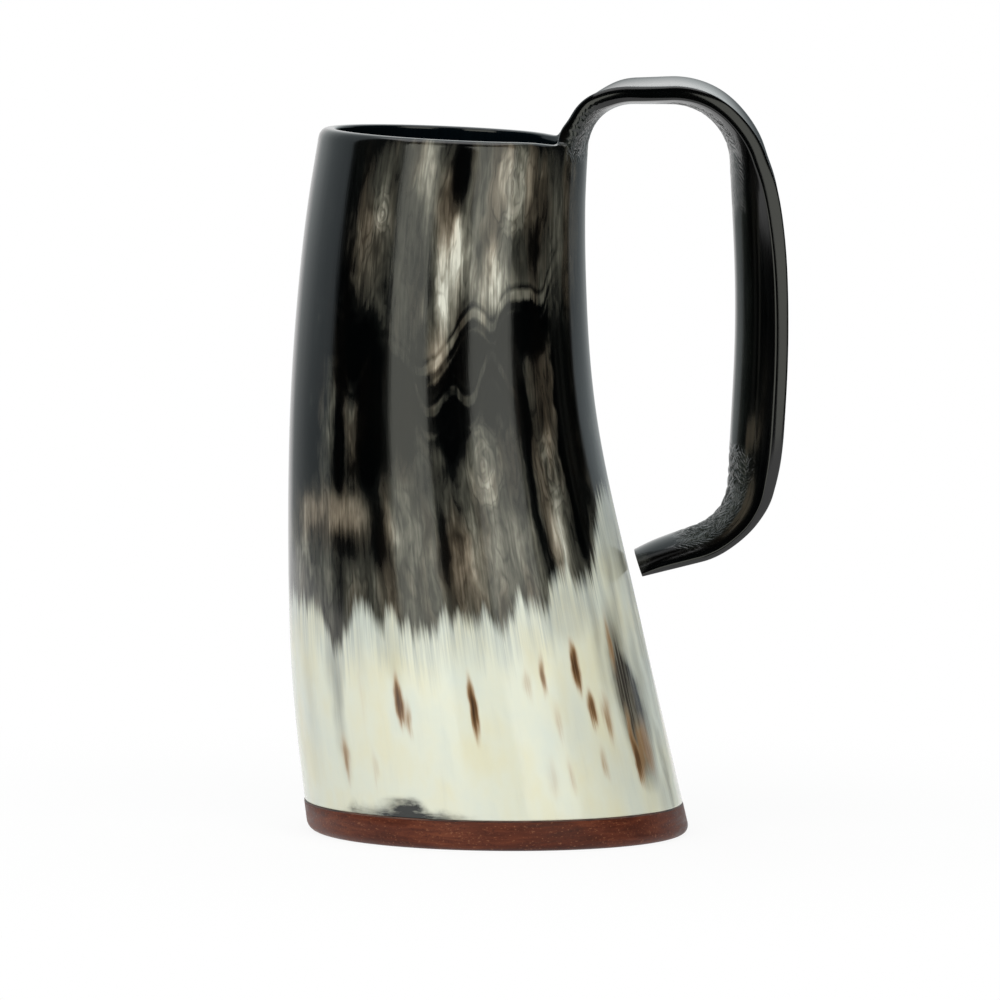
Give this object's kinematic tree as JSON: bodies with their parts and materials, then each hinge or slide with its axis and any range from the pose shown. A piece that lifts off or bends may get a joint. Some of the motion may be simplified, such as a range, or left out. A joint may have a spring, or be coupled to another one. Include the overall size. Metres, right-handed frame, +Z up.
{
  "type": "horn drinking cup",
  "caption": "Tall drinking cup of polished horn, leaning and flared to the foot, with its handle bent out of the same horn and a flush wood base glued in.",
  "frame": {"origin": "centre of the flat underside of the wood base, on the table", "axes": "+Z up, +X towards the handle, +Y to the left of someone who looks along +X"},
  "size_m": [0.1092, 0.0794, 0.1653],
  "materials": {
    "horn": "polished natural horn, black and taupe above, cream towards the foot",
    "wood": "satin reddish brown hardwood",
    "adhesive": "dark set adhesive",
    "resin": "clear amber resin"
  },
  "bodies": {
    "root": {"horn_body": "horn", "wood_base": "wood", "glue_bed": "adhesive", "seal_bead": "resin"}
  },
  "joints": []
}
